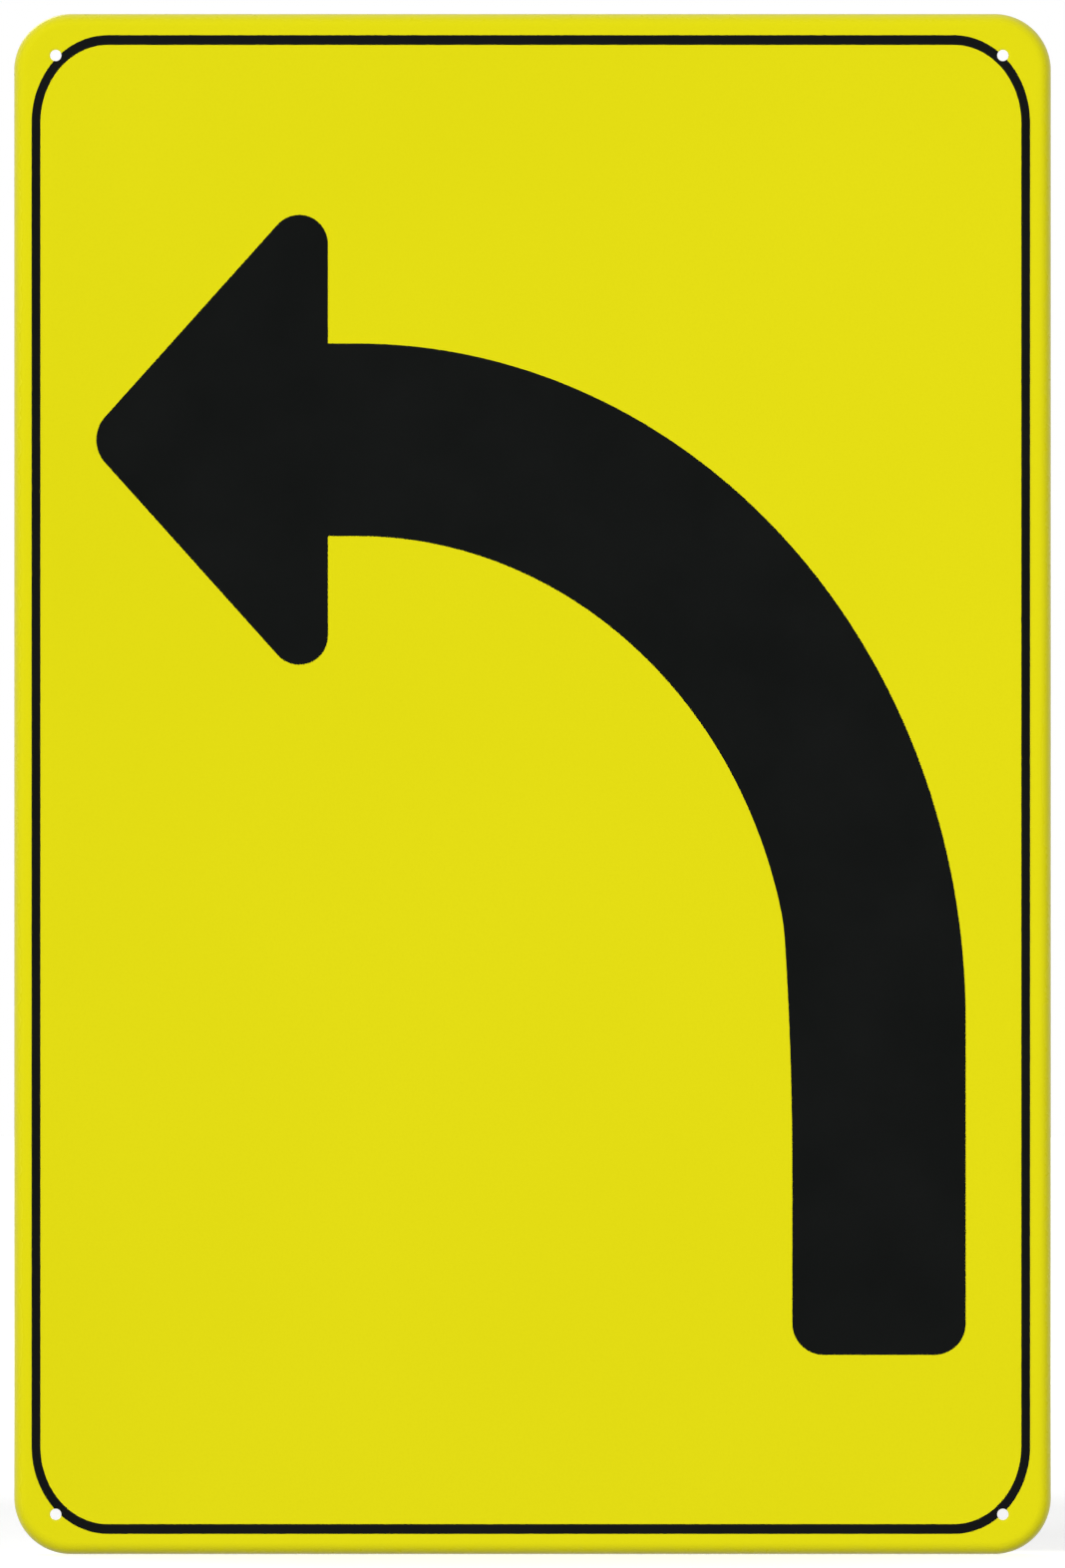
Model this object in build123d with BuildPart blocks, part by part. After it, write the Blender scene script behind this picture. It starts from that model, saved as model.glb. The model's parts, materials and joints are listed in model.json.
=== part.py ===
"""Pressed sheet-steel wall sign with a printed border line and a printed arrow that bends left.

The sign stands upright. +X is to the right of someone who reads it, +Z is up, and its face looks
along -Y. The origin is on the wall plane, behind the middle of the face. Lengths are in millimetres.
"""

from build123d import *

import os

# Finished outline of the sign, over its coats
sign_width = 202.0
sign_height = 300.0
corner_radius = 11.0

# Rolled edge: the sheet turns back at the front bend, runs straight over a short land, and turns in
# at the rear bend to a flat hem against the wall. The bend radii are those of the sheet's inside.
front_bend_radius = 2.0
edge_land = 0.2
rear_bend_radius = 0.6
hem_reach = 4.0

# Thickness of the steel and of each coat on it
sheet_thickness = 0.3
ground_coat_thickness = 0.05
yellow_coat_thickness = 0.05
ink_thickness = 0.05

# Nail holes, one in each corner, from the sign's edges to the hole's centre
hole_diameter = 2.2
hole_margin_left = 8.15
hole_margin_right = 9.4
hole_margin_top = 8.15
hole_margin_bottom = 7.8

# Border line: its margins from the sign's edges, its two widths and its elliptical outer corners
border_margin_left = 3.45
border_margin_right = 4.1
border_margin_top = 4.2
border_margin_bottom = 4.0
border_side_width = 1.7
border_end_width = 1.9
border_corner_x = 14.85
border_corner_z = 17.05

# Arrow: margins from the sign's edges to its sharp corners, before these are rounded
tip_margin = 13.75
barb_margin = 30.15
leg_margin = 16.65
foot_margin = 38.85

# Arrow: its head, its arm and leg with their straight runs up to the bend, and its rounded corners
head_length = 47.4
head_height = 105.65
arm_thickness = 37.5
arm_run = 5.6
leg_width = 33.75
leg_run = 65.2
tip_radius = 6.7
barb_radius = 5.6
foot_radius = 6.1

# Arrow: slow flare of the leg's left side, with the straight run below it, its height up into the bend
# and how far it reaches out there
flare_run = 35.0
flare_height = 70.0
flare_reach = 3.4

# How far each outer surface of the sheet's wall lies outside the inner surface of the steel
steel_level = sheet_thickness
ground_level = steel_level + ground_coat_thickness
wall_thickness = ground_level + yellow_coat_thickness

# Depths from the wall plane towards the reader
edge_depth = front_bend_radius + edge_land + rear_bend_radius + 2 * wall_thickness
mid_depth = edge_depth / 2
face_plane = Plane.XZ.offset(edge_depth)

# Outer size of the border line
border_width = sign_width - border_margin_left - border_margin_right
border_height = sign_height - border_margin_top - border_margin_bottom


def rolled_body(level):
    """Closed body whose skin lies this far outside the inner surface of the sheet, all round."""
    inset = wall_thickness - level
    with BuildPart() as body:
        with BuildSketch(Plane.XZ.offset(inset)):
            RectangleRounded(sign_width - 2 * inset, sign_height - 2 * inset, corner_radius - inset)
        extrude(amount=edge_depth - 2 * inset)
        front_face = body.faces().sort_by(Axis.Y)[0]
        fillet(front_face.edges(), front_bend_radius + level)
        rear_face = body.faces().sort_by(Axis.Y)[-1]
        fillet(rear_face.edges(), rear_bend_radius + level)
    return body.part


def border_shape(inset_side, inset_end):
    """Face inside the border's outer outline, or inside one brought in at the sides and the ends."""
    half_width = border_width / 2 - inset_side
    half_height = border_height / 2 - inset_end
    radius_x = border_corner_x - inset_side
    radius_z = border_corner_z - inset_end
    corner_x = half_width - radius_x
    corner_z = half_height - radius_z
    with BuildSketch() as shape:
        with BuildLine():
            Line((0, half_height), (corner_x, half_height))
            EllipticalCenterArc((corner_x, corner_z), radius_x, radius_z, start_angle=0, arc_size=90)
            Line((half_width, corner_z), (half_width, 0))
            mirror(about=Plane.YZ)
            mirror(about=Plane.XZ)
        make_face()
    return shape.sketch


# Opening in the back, inside the hem
with BuildSketch(Plane.XZ) as back_opening:
    RectangleRounded(sign_width, sign_height, corner_radius)
    offset(amount=-hem_reach, mode=Mode.REPLACE)

# Nail holes, drawn behind the face and cut forward through it
hole_spacing_x = sign_width - hole_margin_left - hole_margin_right
hole_spacing_z = sign_height - hole_margin_top - hole_margin_bottom
hole_middle_x = (hole_margin_left - hole_margin_right) / 2
hole_middle_z = (hole_margin_bottom - hole_margin_top) / 2
hole_plane = Plane.XZ.offset(mid_depth).shift_origin((hole_middle_x, -mid_depth, hole_middle_z))
with BuildSketch(hole_plane) as nail_holes:
    with GridLocations(hole_spacing_x, hole_spacing_z, 2, 2):
        Circle(hole_diameter / 2)

# Bodies that follow each surface of the wall, from the inside of the steel to the finished outside
hollow_inside = rolled_body(0)
steel_outside = rolled_body(steel_level)
ground_outside = rolled_body(ground_level)
finished_outside = rolled_body(wall_thickness)

# Formed steel sheet
with BuildPart() as base_sheet:
    add(steel_outside)
    add(hollow_inside, mode=Mode.SUBTRACT)
    extrude(back_opening.sketch, amount=mid_depth, mode=Mode.SUBTRACT)
    extrude(nail_holes.sketch, amount=edge_depth, mode=Mode.SUBTRACT)
base_sheet.part.label = "base_sheet"

# White ground coat on the steel, round the roll to the cut edge of the hem
with BuildPart() as ground_coat:
    add(ground_outside)
    add(steel_outside, mode=Mode.SUBTRACT)
    extrude(back_opening.sketch, amount=mid_depth, mode=Mode.SUBTRACT)
    extrude(nail_holes.sketch, amount=edge_depth, mode=Mode.SUBTRACT)
ground_coat.part.label = "ground_coat"

# Yellow coat over the ground coat
with BuildPart() as yellow_coat:
    add(finished_outside)
    add(ground_outside, mode=Mode.SUBTRACT)
    extrude(back_opening.sketch, amount=mid_depth, mode=Mode.SUBTRACT)
    extrude(nail_holes.sketch, amount=edge_depth, mode=Mode.SUBTRACT)
yellow_coat.part.label = "yellow_coat"

# Black border line printed on the yellow, cut by the nail holes
border_middle_x = (border_margin_left - border_margin_right) / 2
border_middle_z = (border_margin_bottom - border_margin_top) / 2
border_plane = face_plane.shift_origin((border_middle_x, -edge_depth, border_middle_z))
with BuildPart() as border_line:
    with BuildSketch(border_plane):
        add(border_shape(0, 0))
        add(border_shape(border_side_width, border_end_width), mode=Mode.SUBTRACT)
    extrude(amount=ink_thickness)
    extrude(nail_holes.sketch, amount=edge_depth, mode=Mode.SUBTRACT)
border_line.part.label = "border_line"

# Lines that the arrow is drawn between
tip_x = tip_margin - sign_width / 2
head_back_x = tip_x + head_length
head_top_z = sign_height / 2 - barb_margin
head_bottom_z = head_top_z - head_height
arm_axis_z = head_top_z - head_height / 2
arm_top_z = arm_axis_z + arm_thickness / 2
arm_bottom_z = arm_axis_z - arm_thickness / 2
leg_right_x = sign_width / 2 - leg_margin
leg_left_x = leg_right_x - leg_width
leg_axis_x = leg_right_x - leg_width / 2
foot_z = foot_margin - sign_height / 2
bend_x = head_back_x + arm_run
bend_z = foot_z + leg_run
flare_z = foot_z + flare_run
flare_top_z = flare_z + flare_height

# Sharp corners of the arrow and the radius that rounds each
rounded_corners = (
    ((tip_x, arm_axis_z), tip_radius),
    ((head_back_x, head_top_z), barb_radius),
    ((head_back_x, head_bottom_z), barb_radius),
    ((leg_left_x, foot_z), foot_radius),
    ((leg_right_x, foot_z), foot_radius),
)

# Black arrow printed on the yellow: up the flared leg, round the bend and along the arm to the head
with BuildPart() as arrow:
    with BuildSketch(face_plane) as arrow_sketch:
        with BuildLine():
            EllipticalCenterArc(
                (bend_x, bend_z), leg_left_x - bend_x, arm_bottom_z - bend_z, start_angle=0, arc_size=90
            )
            Polyline(
                (bend_x, arm_bottom_z),
                (head_back_x, arm_bottom_z),
                (head_back_x, head_bottom_z),
                (tip_x, arm_axis_z),
                (head_back_x, head_top_z),
                (head_back_x, arm_top_z),
                (bend_x, arm_top_z),
            )
            EllipticalCenterArc(
                (bend_x, bend_z), leg_right_x - bend_x, arm_top_z - bend_z, start_angle=0, arc_size=90
            )
            Polyline(
                (leg_right_x, bend_z), (leg_right_x, foot_z), (leg_left_x, foot_z), (leg_left_x, bend_z)
            )
        make_face()
        with BuildLine():
            flare = TangentArc(
                (leg_left_x, flare_z), (leg_left_x - flare_reach, flare_top_z), tangent=(0, 1)
            )
            Polyline(flare @ 1, (leg_axis_x, flare_top_z), (leg_axis_x, flare_z), flare @ 0)
        make_face()
        for corner, radius in rounded_corners:
            fillet(arrow_sketch.vertices().sort_by_distance(corner)[0], radius)
    extrude(amount=ink_thickness)
arrow.part.label = "arrow"

os.makedirs("parts", exist_ok=True)
for piece in (base_sheet, ground_coat, yellow_coat, border_line, arrow):
    export_step(piece.part, f"parts/{piece.part.label}.step")
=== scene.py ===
"""Studio scene of a pressed sheet-steel arrow sign: fine meshes, finishes, light and camera.

Lengths are in metres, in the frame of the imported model: +X is to the reader's right, +Z is up, and the
face looks along -Y. The wall plane, against which the sign's hem lies, is Y = 0.
"""

import json
import math

import bpy
from mathutils import Matrix, Vector, geometry, noise


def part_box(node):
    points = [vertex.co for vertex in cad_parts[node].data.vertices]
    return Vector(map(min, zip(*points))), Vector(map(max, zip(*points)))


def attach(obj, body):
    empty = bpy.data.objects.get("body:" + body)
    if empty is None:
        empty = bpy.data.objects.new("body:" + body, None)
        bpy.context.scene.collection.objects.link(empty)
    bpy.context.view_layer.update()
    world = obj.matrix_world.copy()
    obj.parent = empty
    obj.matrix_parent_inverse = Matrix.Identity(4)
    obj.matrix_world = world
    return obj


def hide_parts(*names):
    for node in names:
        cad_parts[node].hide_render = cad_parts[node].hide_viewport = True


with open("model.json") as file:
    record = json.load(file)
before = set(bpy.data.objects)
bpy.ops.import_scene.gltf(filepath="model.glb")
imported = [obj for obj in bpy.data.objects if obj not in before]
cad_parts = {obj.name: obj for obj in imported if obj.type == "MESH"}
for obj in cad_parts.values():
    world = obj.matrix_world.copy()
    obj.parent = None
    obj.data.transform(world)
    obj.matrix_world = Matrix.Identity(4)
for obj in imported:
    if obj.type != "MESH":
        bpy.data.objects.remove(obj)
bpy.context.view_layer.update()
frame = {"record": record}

MM = 0.001
QUARTER_TURN = math.pi / 2

# Kind of triangulation: the triangles that its loops enclose
INSIDE_LOOPS = 1

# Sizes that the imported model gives
yellow_low, yellow_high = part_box("yellow_coat")
ground_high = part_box("ground_coat")[1]
steel_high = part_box("base_sheet")[1]
border_low, border_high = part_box("border_line")
arrow_low, arrow_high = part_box("arrow")
half_width = yellow_high.x
half_height = yellow_high.z
edge_depth = -yellow_low.y
yellow_thickness = half_width - ground_high.x
ground_thickness = ground_high.x - steel_high.x
ink_thickness = yellow_low.y - arrow_low.y
border_middle = (border_low + border_high).xz / 2
border_half = (border_high - border_low).xz / 2

# Nail holes, from the mount that states them
hole_mount = next(mount for mount in frame["record"]["mounts"] if mount["name"] == "corner_holes")
hole_radius = hole_mount["dims"]["hole_r_mm"] * MM
hole_middle = Vector(hole_mount["pos_m"]).xz
hole_reach = Vector((hole_mount["dims"]["spacing_x_mm"], hole_mount["dims"]["spacing_y_mm"])) / 2 * MM
hole_centres = [hole_middle + hole_reach * Vector((x, z)) for x in (-1, 1) for z in (-1, 1)]

# Formed sheet: bend radii are those of the steel's inside
corner_radius = 11.0 * MM
front_bend_radius = 2.0 * MM
rear_bend_radius = 0.6 * MM
hem_reach = 4.0 * MM
sheet_thickness = 0.3 * MM

# Border line
border_side_width = 1.7 * MM
border_end_width = 1.9 * MM
border_corner_x = 14.85 * MM
border_corner_z = 17.05 * MM

# Arrow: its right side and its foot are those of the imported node. The leg's left side flares into the
# bend, in a join that is softened by a share of the height above the flare's start.
tip_margin = 13.75 * MM
barb_margin = 30.15 * MM
head_length = 47.4 * MM
head_height = 105.65 * MM
arm_thickness = 37.5 * MM
arm_run = 5.6 * MM
leg_width = 33.75 * MM
leg_run = 65.2 * MM
tip_radius = 6.7 * MM
barb_radius = 5.6 * MM
foot_radius = 6.1 * MM
flare_run = 35.0 * MM
flare_height = 70.0 * MM
flare_reach = 3.4 * MM
flare_softness = 0.007

# Forming marks: slow waves in the face, rims drawn in by the punch, pleats in the hem at the corners
wave_depth = 0.16 * MM
wave_length = 85.0 * MM
wave_fade = 28.0 * MM
punch_depth = 0.09 * MM
punch_reach = 0.55 * MM
pleat_depth = 0.14 * MM
pleats_per_corner = 5

# Fineness of the meshes
mesh_spacing = 4.0 * MM
merge_distance = 0.0001 * MM
corner_steps = 32
front_bend_steps = 14
rear_bend_steps = 8
hem_steps = 6
hole_steps = 40
bend_steps = 64
round_steps = 14
crease_angle = math.radians(35)

# Loops of the face's rim strips, inwards from the flat face's end, and rings of points round a hole, as
# shares of the punch's reach
rim_gaps = (1.2 * MM, 0.4 * MM, 0.0)
ring_shares = (0.15, 0.35, 0.65, 1.0, 1.8, 3.0)

# Clearances of the points that fill a face: round the holes, inside the strips and inside the arrow
hole_clearance = 4.5 * punch_reach
fill_clearance = 0.6 * mesh_spacing
ring_clearance = 0.1 * mesh_spacing
arrow_clearance = 0.5 * mesh_spacing

# Levels of the sheet's surfaces, outwards from the inside of the steel
steel_level = sheet_thickness
ground_level = steel_level + ground_thickness
wall_thickness = ground_level + yellow_thickness

# Radii from the corner centres: where the flat face ends, where its fine rim strips start, the hem's edge
flat_radius = corner_radius - wall_thickness - front_bend_radius
strip_radius = 6.5 * MM
hem_radius = corner_radius - hem_reach
core = Vector((half_width - corner_radius, half_height - corner_radius))

# Radius of the arrow's flare, which starts straight up
flare_radius = (flare_height ** 2 + flare_reach ** 2) / (2 * flare_reach)


def smooth_step(value):
    """0 below 0, 1 above 1, and an even rise between."""
    share = min(max(value, 0.0), 1.0)
    return share * share * (3 - 2 * share)


def depth_from_edge(x, z):
    """Distance of a point of the face from the sheet's rounded outline."""
    across = abs(x) - core.x
    along = abs(z) - core.y
    beyond = math.hypot(max(across, 0.0), max(along, 0.0))
    return corner_radius - beyond - min(max(across, along), 0.0)


def rim_distance(x, z):
    """Distance of a point of the face from the rim of the nearest hole."""
    return min((Vector((x, z)) - centre).length for centre in hole_centres) - hole_radius


def sag(x, z):
    """How far the face lies behind its true plane, by its waves and by the drawn rims of the holes."""
    hold = smooth_step((depth_from_edge(x, z) - corner_radius + flat_radius) / wave_fade)
    wave = 0.5 + 0.5 * noise.noise(Vector((x, z, 0.0)) / wave_length)
    drawn = max(0.0, 1.0 - rim_distance(x, z) / punch_reach)
    return wave_depth * hold * wave + punch_depth * drawn * drawn


def rub(x, z):
    """How much the coats are stretched and rubbed: 0 on the flat face, up to 1 on the roll and the rims."""
    on_roll = 1.0 - depth_from_edge(x, z) / (corner_radius - flat_radius)
    on_rim = 1.0 - rim_distance(x, z) / punch_reach
    return smooth_step(max(on_roll, on_rim))


def quarter_corner(quarter):
    """Signs of the corner that a quarter turn, counted from the right-hand top one, goes round."""
    return Vector((1 if quarter in (0, 3) else -1, 1 if quarter in (0, 1) else -1))


def divided(loop):
    """The loop with points added so that no run is longer than the mesh spacing."""
    points = []
    for start, end in zip(loop, loop[1:] + loop[:1]):
        runs = max(1, math.ceil((end - start).length / mesh_spacing))
        points += [start.lerp(end, run / runs) for run in range(runs)]
    return points


def rounded_corner(before, corner, after, radius):
    """Points of the arc that rounds a corner between two straight runs."""
    towards_before = (before - corner).normalized()
    towards_after = (after - corner).normalized()
    half_angle = towards_before.angle(towards_after) / 2
    middle = (towards_before + towards_after).normalized()
    centre = corner + middle * (radius / math.sin(half_angle))
    start = corner + towards_before * (radius / math.tan(half_angle)) - centre
    turn = math.copysign(math.pi - 2 * half_angle, towards_after.cross(towards_before))
    turns = [Matrix.Rotation(turn * step / round_steps, 2) for step in range(round_steps + 1)]
    return [centre + rotation @ start for rotation in turns]


def circle(centre, radius):
    """Points round a circle on the face."""
    angles = [step / hole_steps * math.tau for step in range(hole_steps)]
    return [centre + radius * Vector((math.cos(angle), math.sin(angle))) for angle in angles]


def hole_rings():
    """Points in rings round each hole, close together where the punch has drawn the rim in."""
    radii = [hole_radius + share * punch_reach for share in ring_shares]
    return [point for centre in hole_centres for radius in radii for point in circle(centre, radius)]


def lattice():
    """Points over the whole face in staggered rows."""
    row_height = mesh_spacing * math.sqrt(0.75)
    rows = math.ceil(half_height / row_height)
    columns = math.ceil(half_width / mesh_spacing)
    points = []
    for row in range(-rows, rows + 1):
        stagger = 0.5 * (row % 2)
        places = [(column + stagger) * mesh_spacing for column in range(-columns, columns + 1)]
        points += [Vector((x, row * row_height)) for x in places]
    return points


def triangulated(loops, loose_points, is_kept):
    """Points and triangles inside the outermost loops, refined by loose points, where they are kept."""
    points = []
    edges = []
    for loop in loops:
        first = len(points)
        points += loop
        edges += [(first + i, first + (i + 1) % len(loop)) for i in range(len(loop))]
    points += loose_points
    made = geometry.delaunay_2d_cdt(points, edges, [], INSIDE_LOOPS, merge_distance)
    made_points = made[0]
    triangles = []
    for a, b, c in made[2]:
        middle = (made_points[a] + made_points[b] + made_points[c]) / 3
        if is_kept(middle):
            turns_left = (made_points[b] - made_points[a]).cross(made_points[c] - made_points[a]) > 0
            triangles.append((a, b, c) if turns_left else (a, c, b))
    used = sorted({i for triangle in triangles for i in triangle})
    number = {i: place for place, i in enumerate(used)}
    return [made_points[i] for i in used], [tuple(number[i] for i in triangle) for triangle in triangles]


def closed_shell(name, front, back, faces):
    """A piece closed between two surfaces of the same faces, with walls along their open edges."""
    count = len(front)
    sides = {side for face in faces for side in zip(face, face[1:] + face[:1])}
    open_sides = sorted((a, b) for a, b in sides if (b, a) not in sides)
    turned = [tuple(count + i for i in reversed(face)) for face in faces]
    walls = [(b, a, count + a, count + b) for a, b in open_sides]
    mesh = bpy.data.meshes.new(name)
    mesh.from_pydata(front + back, [], faces + turned + walls)
    mesh.shade_smooth()
    mesh.set_sharp_from_angle(angle=crease_angle)
    rubbed = mesh.attributes.new("rub", "FLOAT", "POINT")
    rubbed.data.foreach_set("value", [rub(x, z) for x, y, z in front + back])
    piece = bpy.data.objects.new(name, mesh)
    bpy.context.scene.collection.objects.link(piece)
    return piece


def rim_stations():
    """Stations round the sheet: a point on the core, the way out, and the share round a corner."""
    stations = []
    for quarter in range(4):
        corner = quarter_corner(quarter) * core
        following = quarter_corner((quarter + 1) % 4) * core
        for step in range(corner_steps + 1):
            angle = (quarter + step / corner_steps) * QUARTER_TURN
            stations.append((corner, Vector((math.cos(angle), math.sin(angle))), step / corner_steps))
        way_out = stations[-1][1]
        runs = math.ceil((following - corner).length / mesh_spacing)
        stations += [(corner.lerp(following, run / runs), way_out, 0.0) for run in range(1, runs)]
    return stations


def sheet_profile(level):
    """Radius, depth and share along the hem of each loop of the edge, from the face to the hem's end."""
    inset = wall_thickness - level
    front_radius = front_bend_radius + level
    rear_radius = rear_bend_radius + level
    face_y = inset - edge_depth
    rear_centre = corner_radius - inset - rear_radius
    loops = [(flat_radius - gap, face_y, 0.0) for gap in rim_gaps]
    for step in range(1, front_bend_steps + 1):
        angle = step / front_bend_steps * QUARTER_TURN
        front_y = face_y + front_radius * (1 - math.cos(angle))
        loops.append((flat_radius + front_radius * math.sin(angle), front_y, 0.0))
    for step in range(rear_bend_steps + 1):
        angle = step / rear_bend_steps * QUARTER_TURN
        rear_y = -inset - rear_radius * (1 - math.sin(angle))
        loops.append((rear_centre + rear_radius * math.cos(angle), rear_y, 0.0))
    for step in range(1, hem_steps + 1):
        share = step / hem_steps
        loops.append((rear_centre + (hem_radius - rear_centre) * share, -inset, share))
    return loops


def sheet_surface(level):
    """Points of one surface of the formed sheet, this far outside the inside of the steel."""
    face_y = wall_thickness - level - edge_depth
    points = [(x, face_y + sag(x, z), z) for x, z in face_points]
    for radius, depth, hem_share in sheet_profile(level):
        for foot, way_out, corner_share in stations:
            x, z = foot + way_out * radius
            half_turn = corner_share * math.pi
            fold = math.sin(half_turn) * math.sin(half_turn * pleats_per_corner) ** 2
            bow = sag(x, z) if radius < flat_radius else -pleat_depth * hem_share * fold
            points.append((x, depth + bow, z))
    return points


def sheet_faces():
    """Faces of a surface of the formed sheet: its flat middle, then strips out to the hem's edge."""
    count = len(stations)
    loops = len(sheet_profile(0.0))
    firsts = [0] + [len(face_points) + loop * count for loop in range(loops)]
    rings = [range(first, first + count) for first in firsts]
    faces = list(face_triangles)
    for inner, outer in zip(rings, rings[1:]):
        for i in range(count):
            j = (i + 1) % count
            faces.append((inner[i], outer[i], outer[j], inner[j]))
    return faces


# Flat middle of the face, inside the rim strips, with its four holes
stations = rim_stations()
face_loops = [[foot + way_out * strip_radius for foot, way_out, share in stations]]
face_loops += [circle(centre, hole_radius) for centre in hole_centres]
strip_margin = corner_radius - strip_radius
face_fill = [point for point in lattice() if rim_distance(*point) > hole_clearance]
face_fill = [point for point in face_fill if depth_from_edge(*point) > strip_margin + fill_clearance]
face_fill += [point for point in hole_rings() if depth_from_edge(*point) > strip_margin + ring_clearance]
face_points, face_triangles = triangulated(face_loops, face_fill, lambda point: rim_distance(*point) > 0)


def formed_layer(name, outer_level, inner_level):
    """One layer of the formed sheet, between two of its levels."""
    return closed_shell(name, sheet_surface(outer_level), sheet_surface(inner_level), sheet_faces())


def printed_film(name, points, triangles):
    """A film of ink that lies on the yellow face and follows its waves."""
    under = [(x, sag(x, z) - edge_depth, z) for x, z in points]
    over = [(x, y - ink_thickness, z) for x, y, z in under]
    return closed_shell(name, over, under, triangles)


def border_outline(inset_side, inset_end):
    """Points of the border's outer outline, or of one brought in at the sides and the ends."""
    radius = Vector((border_corner_x - inset_side, border_corner_z - inset_end))
    corner_reach = border_half - Vector((border_corner_x, border_corner_z))
    loop = []
    for quarter in range(4):
        centre = border_middle + quarter_corner(quarter) * corner_reach
        for step in range(corner_steps + 1):
            angle = (quarter + step / corner_steps) * QUARTER_TURN
            loop.append(centre + radius * Vector((math.cos(angle), math.sin(angle))))
    return divided(loop)


def is_in_border(point, inset_side, inset_end):
    """Whether a point lies inside the border's outer outline, or one brought in."""
    across = abs(point.x - border_middle.x) - border_half.x + border_corner_x
    along = abs(point.y - border_middle.y) - border_half.y + border_corner_z
    share_x = max(across, 0.0) / (border_corner_x - inset_side)
    share_z = max(along, 0.0) / (border_corner_z - inset_end)
    return math.hypot(share_x, share_z) < 1


def make_border():
    """The border line, bitten by the holes."""

    def is_inside(point):
        """Whether a point lies on the line and clear of the holes."""
        in_line = is_in_border(point, 0.0, 0.0)
        in_middle = is_in_border(point, border_side_width, border_end_width)
        return in_line and not in_middle and rim_distance(*point) > 0

    loops = [border_outline(0.0, 0.0), border_outline(border_side_width, border_end_width)]
    loops += [circle(centre, hole_radius) for centre in hole_centres]
    loose_points = [point for point in hole_rings() if is_inside(point)]
    return printed_film("border_print", *triangulated(loops, loose_points, is_inside))


def quarter_bend(centre, radius_x, radius_z):
    """Points of a quarter ellipse, from beside its centre to above it."""
    angles = [step / bend_steps * QUARTER_TURN for step in range(bend_steps + 1)]
    return [centre + Vector((radius_x * math.cos(angle), radius_z * math.sin(angle))) for angle in angles]


def flared(point, flare_start):
    """The point, moved left onto the leg's flare where that lies further left, with a soft join."""
    rise = point.y - flare_start.y
    if not 0 < rise < flare_height:
        return point
    flare_x = flare_start.x - flare_radius + math.sqrt(flare_radius ** 2 - rise ** 2)
    blend = flare_softness * rise
    overlap = max(0.0, blend - abs(point.x - flare_x))
    return Vector((min(point.x, flare_x) - overlap ** 2 / (4 * blend), point.y))


def arrow_outline():
    """Points round the arrow: the leg's flare, the inside of its bend, the head, the outside, the foot."""
    tip_x = tip_margin - half_width
    head_back_x = tip_x + head_length
    arm_axis_z = half_height - barb_margin - head_height / 2
    arm_top_z = arm_axis_z + arm_thickness / 2
    arm_bottom_z = arm_axis_z - arm_thickness / 2
    leg_right_x = arrow_high.x
    leg_left_x = leg_right_x - leg_width
    foot_z = arrow_low.z
    bend = Vector((head_back_x + arm_run, foot_z + leg_run))
    upper_barb = Vector((head_back_x, arm_axis_z + head_height / 2))
    lower_barb = Vector((head_back_x, arm_axis_z - head_height / 2))
    tip = Vector((tip_x, arm_axis_z))
    arm_top = Vector((head_back_x, arm_top_z))
    arm_bottom = Vector((head_back_x, arm_bottom_z))
    foot_right = Vector((leg_right_x, foot_z))
    foot_left = Vector((leg_left_x, foot_z))
    flare_start = Vector((leg_left_x, foot_z + flare_run))
    bend_start = Vector((leg_left_x, bend.y))
    inside = [flare_start.lerp(bend_start, step / round_steps) for step in range(round_steps)]
    inside += quarter_bend(bend, leg_left_x - bend.x, arm_bottom_z - bend.y)
    inside = [flared(point, flare_start) for point in inside]
    outside = quarter_bend(bend, leg_right_x - bend.x, arm_top_z - bend.y)
    outline = inside + [arm_bottom]
    outline += rounded_corner(arm_bottom, lower_barb, tip, barb_radius)
    outline += rounded_corner(lower_barb, tip, upper_barb, tip_radius)
    outline += rounded_corner(tip, upper_barb, arm_top, barb_radius)
    outline += [arm_top] + outside[::-1]
    outline += rounded_corner(outside[0], foot_right, foot_left, foot_radius)
    outline += rounded_corner(foot_right, foot_left, inside[0], foot_radius)
    return outline


def make_arrow():
    """The bent arrow."""
    outline = divided(arrow_outline())

    def is_inside(point):
        """Whether a level line to the right of a point crosses the outline an odd number of times."""
        crossings = 0
        for start, end in zip(outline, outline[1:] + outline[:1]):
            if (start.y > point.y) != (end.y > point.y):
                share = (point.y - start.y) / (end.y - start.y)
                crossings += point.x < start.x + share * (end.x - start.x)
        return crossings % 2 == 1

    across = Vector((arrow_clearance, 0))
    along = Vector((0, arrow_clearance))
    steps = [across, -across, along, -along]
    fill = [point for point in lattice() if all(is_inside(point + step) for step in steps)]
    return printed_film("arrow_print", *triangulated([outline], fill, lambda point: True))


# Pieces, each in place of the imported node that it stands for
pieces = {
    "base_sheet": formed_layer("formed_steel", steel_level, 0.0),
    "ground_coat": formed_layer("ground_film", ground_level, steel_level),
    "yellow_coat": formed_layer("yellow_film", wall_thickness, ground_level),
    "border_line": make_border(),
    "arrow": make_arrow(),
}
slots = {row["node"]: row["material_slot"] for row in frame["record"]["subparts"]}
for node, piece in pieces.items():
    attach(piece, "root")
    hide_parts(node)


def arithmetic(nodes, links, operation, first, second):
    """Arithmetic between two outputs of a node tree."""
    node = nodes.new("ShaderNodeMath")
    node.operation = operation
    links.new(first, node.inputs[0])
    links.new(second, node.inputs[1])
    return node.outputs["Value"]


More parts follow.
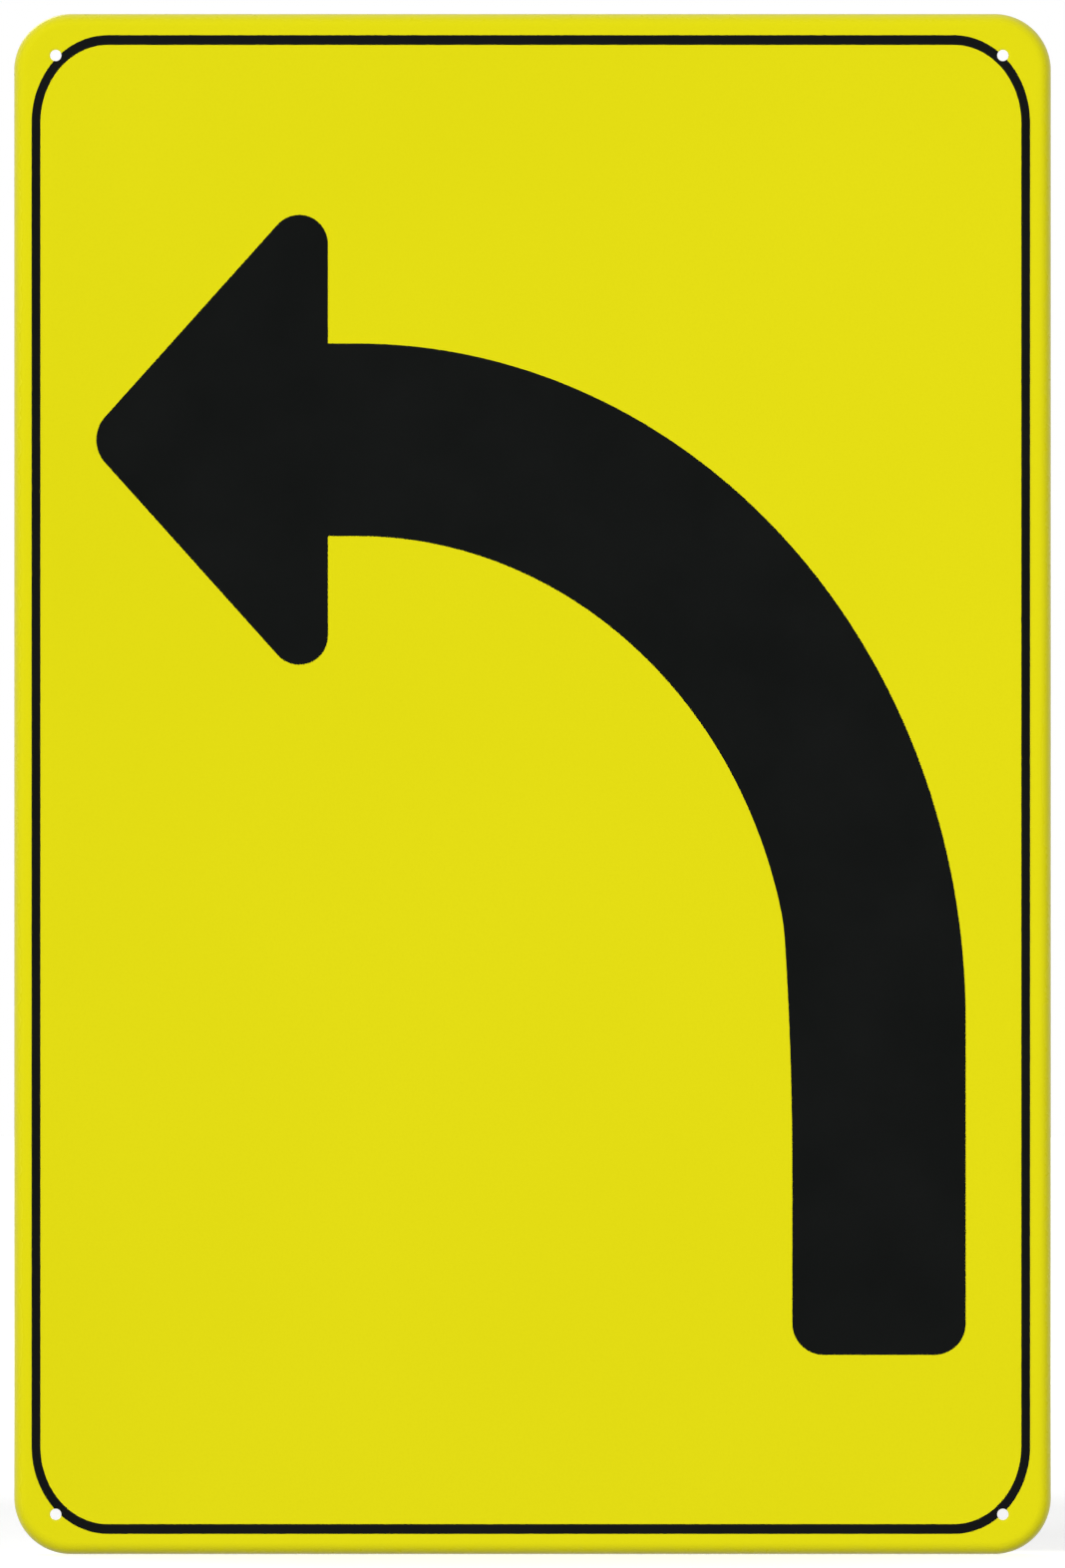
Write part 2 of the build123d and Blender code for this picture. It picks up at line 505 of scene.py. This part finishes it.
class Finish:
    """A material in the making, with short ways to add textures that follow the object's own space."""

    def __init__(self, name):
        self.material = bpy.data.materials.new(name)
        self.material.use_nodes = True
        self.nodes = self.material.node_tree.nodes
        self.links = self.material.node_tree.links
        self.shader = self.nodes["Principled BSDF"]
        self.place = self.nodes.new("ShaderNodeTexCoord").outputs["Object"]

    def set(self, **values):
        """Set sockets of the shader, named with _ for a space."""
        for name, value in values.items():
            self.shader.inputs[name.replace("_", " ")].default_value = value

    def drive(self, socket, output):
        """Let a node's output drive a socket of the shader."""
        self.links.new(output, self.shader.inputs[socket])

    def attribute(self, name):
        """A number that the mesh holds at each point."""
        node = self.nodes.new("ShaderNodeAttribute")
        node.attribute_name = name
        return node.outputs["Fac"]

    def noise(self, size, detail=3.0, stretch=(1.0, 1.0, 1.0)):
        """Soft noise from 0 to 1 with features of about this size, longer where stretch is above 1."""
        mapping = self.nodes.new("ShaderNodeMapping")
        mapping.inputs["Scale"].default_value = [1.0 / (size * factor) for factor in stretch]
        texture = self.nodes.new("ShaderNodeTexNoise")
        texture.inputs["Scale"].default_value = 1.0
        texture.inputs["Detail"].default_value = detail
        self.links.new(self.place, mapping.inputs["Vector"])
        self.links.new(mapping.outputs["Vector"], texture.inputs["Vector"])
        return texture.outputs["Fac"]

    def ramp(self, value, low, high, from_low=0.3, from_high=0.7):
        """A number that goes from low to high as the value goes over its range."""
        node = self.nodes.new("ShaderNodeMapRange")
        node.inputs["From Min"].default_value = from_low
        node.inputs["From Max"].default_value = from_high
        node.inputs["To Min"].default_value = low
        node.inputs["To Max"].default_value = high
        self.links.new(value, node.inputs["Value"])
        return node.outputs["Result"]

    def arithmetic(self, operation, first, second):
        """Arithmetic between two outputs."""
        return arithmetic(self.nodes, self.links, operation, first, second)

    def colours(self, value, low, high, from_low=0.3, from_high=0.7):
        """A colour that goes from low to high as the value goes over its range."""
        node = self.nodes.new("ShaderNodeValToRGB")
        node.color_ramp.elements[0].position = from_low
        node.color_ramp.elements[0].color = (*low, 1.0)
        node.color_ramp.elements[1].position = from_high
        node.color_ramp.elements[1].color = (*high, 1.0)
        self.links.new(value, node.inputs["Fac"])
        return node.outputs["Color"]

    def mix(self, factor, first, second):
        """The first colour turned towards the second, by a factor that is an output."""
        node = self.nodes.new("ShaderNodeMix")
        node.data_type = "RGBA"
        colour_sockets = [socket for socket in node.inputs if socket.type == "RGBA"]
        for socket, colour in zip(colour_sockets, (first, second)):
            if isinstance(colour, tuple):
                socket.default_value = (*colour, 1.0)
            else:
                self.links.new(colour, socket)
        self.links.new(factor, node.inputs["Factor"])
        return next(socket for socket in node.outputs if socket.type == "RGBA")

    def bump(self, height, depth):
        """Relief of this depth in metres, from a height between 0 and 1."""
        node = self.nodes.new("ShaderNodeBump")
        node.inputs["Strength"].default_value = 1.0
        node.inputs["Distance"].default_value = depth
        self.links.new(height, node.inputs["Height"])
        self.drive("Normal", node.outputs["Normal"])


def yellow_enamel():
    """Smooth semi-gloss yellow: faint drifts in density, fine grain, duller where it was stretched."""
    finish = Finish("yellow_enamel")
    drift = finish.noise(90 * MM, detail=2.0)
    grain = finish.noise(0.5 * MM, detail=2.0)
    body = finish.colours(drift, (0.772, 0.716, 0.005), (0.787, 0.731, 0.006))
    grained = finish.mix(finish.ramp(grain, 0.0, 0.35, 0.45, 0.8), body, (0.735, 0.680, 0.005))
    patches = finish.ramp(finish.noise(2.2 * MM, detail=4.0), 0.2, 0.7)
    rubbed = finish.arithmetic("MULTIPLY", finish.attribute("rub"), patches)
    finish.drive("Base Color", finish.mix(rubbed, grained, (0.725, 0.675, 0.025)))
    smears = finish.noise(26 * MM, detail=5.0, stretch=(2.5, 1.0, 1.0))
    dulled = finish.ramp(rubbed, 0.0, 0.12, 0.0, 0.7)
    finish.drive("Roughness", finish.arithmetic("ADD", finish.ramp(smears, 0.20, 0.26), dulled))
    finish.bump(finish.noise(1.1 * MM, detail=1.0), 0.003 * MM)
    finish.set(Specular_IOR_Level=0.45)
    return finish.material


def black_print():
    """Satin black ink: slight cloudiness, dull smears, fine tooth."""
    finish = Finish("black_print")
    clouds = finish.noise(18 * MM, detail=5.0)
    finish.drive("Base Color", finish.colours(clouds, (0.0056, 0.0064, 0.0060), (0.0074, 0.0082, 0.0078)))
    smears = finish.noise(30 * MM, detail=6.0, stretch=(2.5, 1.0, 1.0))
    finish.drive("Roughness", finish.ramp(smears, 0.20, 0.27))
    finish.bump(finish.noise(0.8 * MM, detail=2.0), 0.003 * MM)
    finish.set(Specular_IOR_Level=0.4)
    return finish.material


def white_ground():
    """Satin off-white ground coat, seen only as a hairline at the cut edges."""
    finish = Finish("white_ground")
    clouds = finish.noise(6 * MM, detail=3.0)
    finish.drive("Base Color", finish.colours(clouds, (0.80, 0.80, 0.76), (0.88, 0.88, 0.85)))
    finish.drive("Roughness", finish.ramp(clouds, 0.45, 0.55))
    return finish.material


def tinplate():
    """Bright tinplate: rolling grain up the sheet, cloudy tin, handling smudges."""
    finish = Finish("tinplate")
    grain = finish.noise(0.45 * MM, detail=4.0, stretch=(1.0, 1.0, 90.0))
    clouds = finish.noise(22 * MM, detail=6.0, stretch=(1.0, 1.0, 2.0))
    smudges = finish.noise(60 * MM, detail=4.0)
    bright = finish.colours(clouds, (0.58, 0.58, 0.57), (0.66, 0.66, 0.645))
    lined = finish.mix(finish.ramp(grain, 0.0, 0.5), bright, (0.50, 0.50, 0.495))
    dulled = finish.ramp(smudges, 0.0, 0.35, 0.52, 0.75)
    finish.drive("Base Color", finish.mix(dulled, lined, (0.46, 0.455, 0.44)))
    streaks = finish.ramp(grain, -0.05, 0.06)
    finish.drive("Roughness", finish.arithmetic("ADD", finish.ramp(smudges, 0.27, 0.40), streaks))
    finish.bump(grain, 0.002 * MM)
    finish.set(Metallic=1.0)
    return finish.material


# Finishes by the record's material slots
finishes = {
    "steel_sheet": tinplate(),
    "white_ground": white_ground(),
    "yellow_paint": yellow_enamel(),
    "black_ink": black_print(),
}
for node, piece in pieces.items():
    piece.data.materials.append(finishes[slots[node]])


# Room round the sign: dim in front, where the camera is, and white behind and above, by how far a
# direction goes along the way to the room's white side
white_side = (0.0, 0.98, 0.2)
room_dim = 0.05
room_white = 0.9
dim_end = -0.3
white_start = 0.6

# Floor that the sign stands on, and the glow that is added to its lit colour, which is painted light: more
# in front of the sign, where it covers the sign's shade on the floor, less behind it, where its shadow
# falls, and all of it far off
floor_size = 12.0
front_painted_light = 0.56
front_start = -0.01
shadow_white = 0.3
shadow_start = 0.03
shadow_reach = 0.35
far_start = 1.3


def mixed(nodes, links, factor, first, second):
    """The first shader turned towards the second by a factor."""
    blend = nodes.new("ShaderNodeMixShader")
    links.new(factor, blend.inputs["Fac"])
    links.new(first, blend.inputs[1])
    links.new(second, blend.inputs[2])
    return blend.outputs["Shader"]


def plain_background(nodes, level):
    """A white background of this level."""
    node = nodes.new("ShaderNodeBackground")
    node.inputs["Color"].default_value = (1.0, 1.0, 1.0, 1.0)
    node.inputs["Strength"].default_value = level
    return node.outputs["Background"]


def make_floor():
    """A plain pale floor that keeps the sign's shadow behind it, with painted light that covers its shade
    in front, and turns to the background's white further off.
    """
    mesh = bpy.data.meshes.new("floor")
    reach = floor_size / 2
    corners = [(-reach, -reach, 0), (reach, -reach, 0), (reach, reach, 0), (-reach, reach, 0)]
    mesh.from_pydata(corners, [], [(0, 1, 2, 3)])
    floor = bpy.data.objects.new("floor", mesh)
    floor.location.z = -half_height
    floor.visible_diffuse = False
    floor.visible_glossy = False
    floor.visible_shadow = False
    bpy.context.scene.collection.objects.link(floor)

    finish = Finish("pale_floor")
    nodes = finish.nodes
    links = finish.links
    clouds = finish.noise(200 * MM)
    finish.drive("Base Color", finish.colours(clouds, (0.80, 0.80, 0.795), (0.83, 0.83, 0.825)))
    finish.set(Roughness=0.9, Specular_IOR_Level=0.0)
    distance = nodes.new("ShaderNodeVectorMath")
    distance.operation = "LENGTH"
    links.new(finish.place, distance.inputs[0])
    far_off = finish.ramp(distance.outputs["Value"], shadow_white, 1.0, shadow_reach, far_start)
    depth = nodes.new("ShaderNodeSeparateXYZ")
    links.new(finish.place, depth.inputs["Vector"])
    # Painted light: more glow in front of the sign, which covers the sign's shade on the floor there, and
    # less behind it
    painted_light_by_depth = finish.ramp(depth.outputs["Y"], front_painted_light, shadow_white, front_start, shadow_start)
    glow = nodes.new("ShaderNodeEmission")
    links.new(finish.arithmetic("MAXIMUM", far_off, painted_light_by_depth), glow.inputs["Strength"])
    surface = nodes.new("ShaderNodeAddShader")
    links.new(finish.shader.outputs["BSDF"], surface.inputs[0])
    links.new(glow.outputs["Emission"], surface.inputs[1])
    links.new(surface.outputs["Shader"], nodes["Material Output"].inputs["Surface"])
    floor.data.materials.append(finish.material)


def make_world():
    """White to the camera, and to light and reflections a room that is dim in front and white behind."""
    world = bpy.data.worlds.new("studio")
    world.use_nodes = True
    bpy.context.scene.world = world
    nodes = world.node_tree.nodes
    links = world.node_tree.links

    along = nodes.new("ShaderNodeVectorMath")
    along.operation = "DOT_PRODUCT"
    along.inputs[1].default_value = white_side
    links.new(nodes.new("ShaderNodeTexCoord").outputs["Generated"], along.inputs[0])
    behind = nodes.new("ShaderNodeMapRange")
    behind.interpolation_type = "SMOOTHSTEP"
    behind.inputs["From Min"].default_value = dim_end
    behind.inputs["From Max"].default_value = white_start
    links.new(along.outputs["Value"], behind.inputs["Value"])
    whiteness = behind.outputs["Result"]

    path = nodes.new("ShaderNodeLightPath").outputs
    mirrored = arithmetic(nodes, links, "MULTIPLY", path["Is Glossy Ray"], whiteness)
    seen = arithmetic(nodes, links, "MAXIMUM", path["Is Camera Ray"], path["Is Transmission Ray"])
    shown = arithmetic(nodes, links, "MAXIMUM", seen, mirrored)

    dim, pale, white = [plain_background(nodes, level) for level in (room_dim, room_white, 1.0)]
    room = mixed(nodes, links, whiteness, dim, pale)
    shader = mixed(nodes, links, shown, room, white)
    links.new(shader, nodes["World Output"].inputs["Surface"])


def make_lamp(name, place, size, power, shows_in_gloss):
    """A square soft box that shines from a place towards the sign's middle, mirrored in gloss or not."""
    lamp = bpy.data.lights.new(name, "AREA")
    lamp.shape = "SQUARE"
    lamp.size = size
    lamp.energy = power
    lamp.cycles.use_multiple_importance_sampling = shows_in_gloss
    box = bpy.data.objects.new(name, lamp)
    box.location = place
    box.rotation_euler = Vector(place).to_track_quat("Z", "Y").to_euler()
    box.visible_camera = False
    box.visible_glossy = shows_in_gloss
    bpy.context.scene.collection.objects.link(box)


make_floor()
make_world()
make_lamp("key", place=(-2.4, -3.05, 1.1), size=2.8, power=118.0, shows_in_gloss=False)
make_lamp("fill", place=(0.45, -1.4, 0.0), size=0.7, power=12.0, shows_in_gloss=False)
make_lamp("back", place=(-0.9, 1.8, 1.4), size=1.2, power=12.0, shows_in_gloss=True)

# Camera: square on, far away, with the sheet as high in the frame as in the photograph. Its lens and
# sensor are in millimetres.
image_height = 1572
sheet_pixels_high = 1544.2
lens = 600.0
sensor = 36.0


def make_camera():
    """Long-lens camera in front of the sign, level with its middle."""
    data = bpy.data.cameras.new("camera")
    data.lens = lens
    data.sensor_width = sensor
    frame_height = 2 * half_height * image_height / sheet_pixels_high
    camera = bpy.data.objects.new("camera", data)
    camera.location.y = -edge_depth / 2 - frame_height * lens / sensor
    camera.rotation_euler.x = QUARTER_TURN
    bpy.context.scene.collection.objects.link(camera)
    bpy.context.scene.camera = camera


make_camera()
bpy.context.scene.view_settings.view_transform = "Standard"
